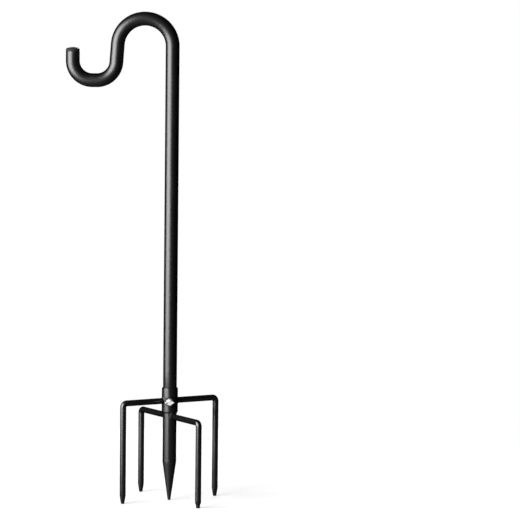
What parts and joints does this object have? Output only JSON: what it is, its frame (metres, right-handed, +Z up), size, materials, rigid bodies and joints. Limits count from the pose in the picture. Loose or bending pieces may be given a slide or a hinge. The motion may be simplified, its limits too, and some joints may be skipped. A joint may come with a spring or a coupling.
{
  "type": "shepherds hook",
  "caption": "Shepherd's hook: a bent steel tube with an upturned cradle for hanging things, clamped by a wing screw in the collar of a spiked base with pronged forks.",
  "frame": {"origin": "end of the stake's point, on the stake's axis, in the plane on which all the points end", "axes": "+Z up the pole, -X towards the hook's upturned end, -Y towards the clamp screw"},
  "size_m": [0.2133, 0.1464, 0.6724],
  "materials": {
    "pole_coating": "satin black powder coat on steel tube",
    "base_coating": "satin black powder coat on welded steel rod and tube",
    "cap_plastic": "moulded black polyethylene",
    "plated_steel": "bright zinc plate"
  },
  "bodies": {
    "base": {"socket_collar": "base_coating", "threaded_boss": "base_coating", "ground_stake": "base_coating", "stake_point": "base_coating", "left_prong": "base_coating", "right_prong": "base_coating", "cross_fork": "base_coating"},
    "foot": {"foot_plug": "cap_plastic"},
    "pole": {"hook_pole": "pole_coating", "hook_tip_cap": "cap_plastic"},
    "stud": {"clamp_stud": "plated_steel"},
    "wing": {"wing_head": "plated_steel"}
  },
  "joints": [
    {"name": "pole_lift", "type": "slide", "parent": "base", "child": "foot", "axis": [0, 0, 1], "range_m": [0, 0.025]},
    {"name": "pole_swivel", "type": "hinge", "parent": "foot", "child": "pole", "pos_m": [0, 0, 0.131], "axis": [0, 0, 1], "continuous": true},
    {"name": "screw_travel", "type": "slide", "parent": "base", "child": "stud", "axis": [0, -1, 0], "range_m": [0, 0.004]},
    {"name": "wing_turn", "type": "hinge", "parent": "stud", "child": "wing", "pos_m": [0, -0.0181, 0.1383], "axis": [0, -1, 0], "range_deg": [0, 1440]}
  ],
  "couplings": [
    {"joint": "screw_travel", "follows": "wing_turn", "m_per_rad": 0.000159}
  ]
}
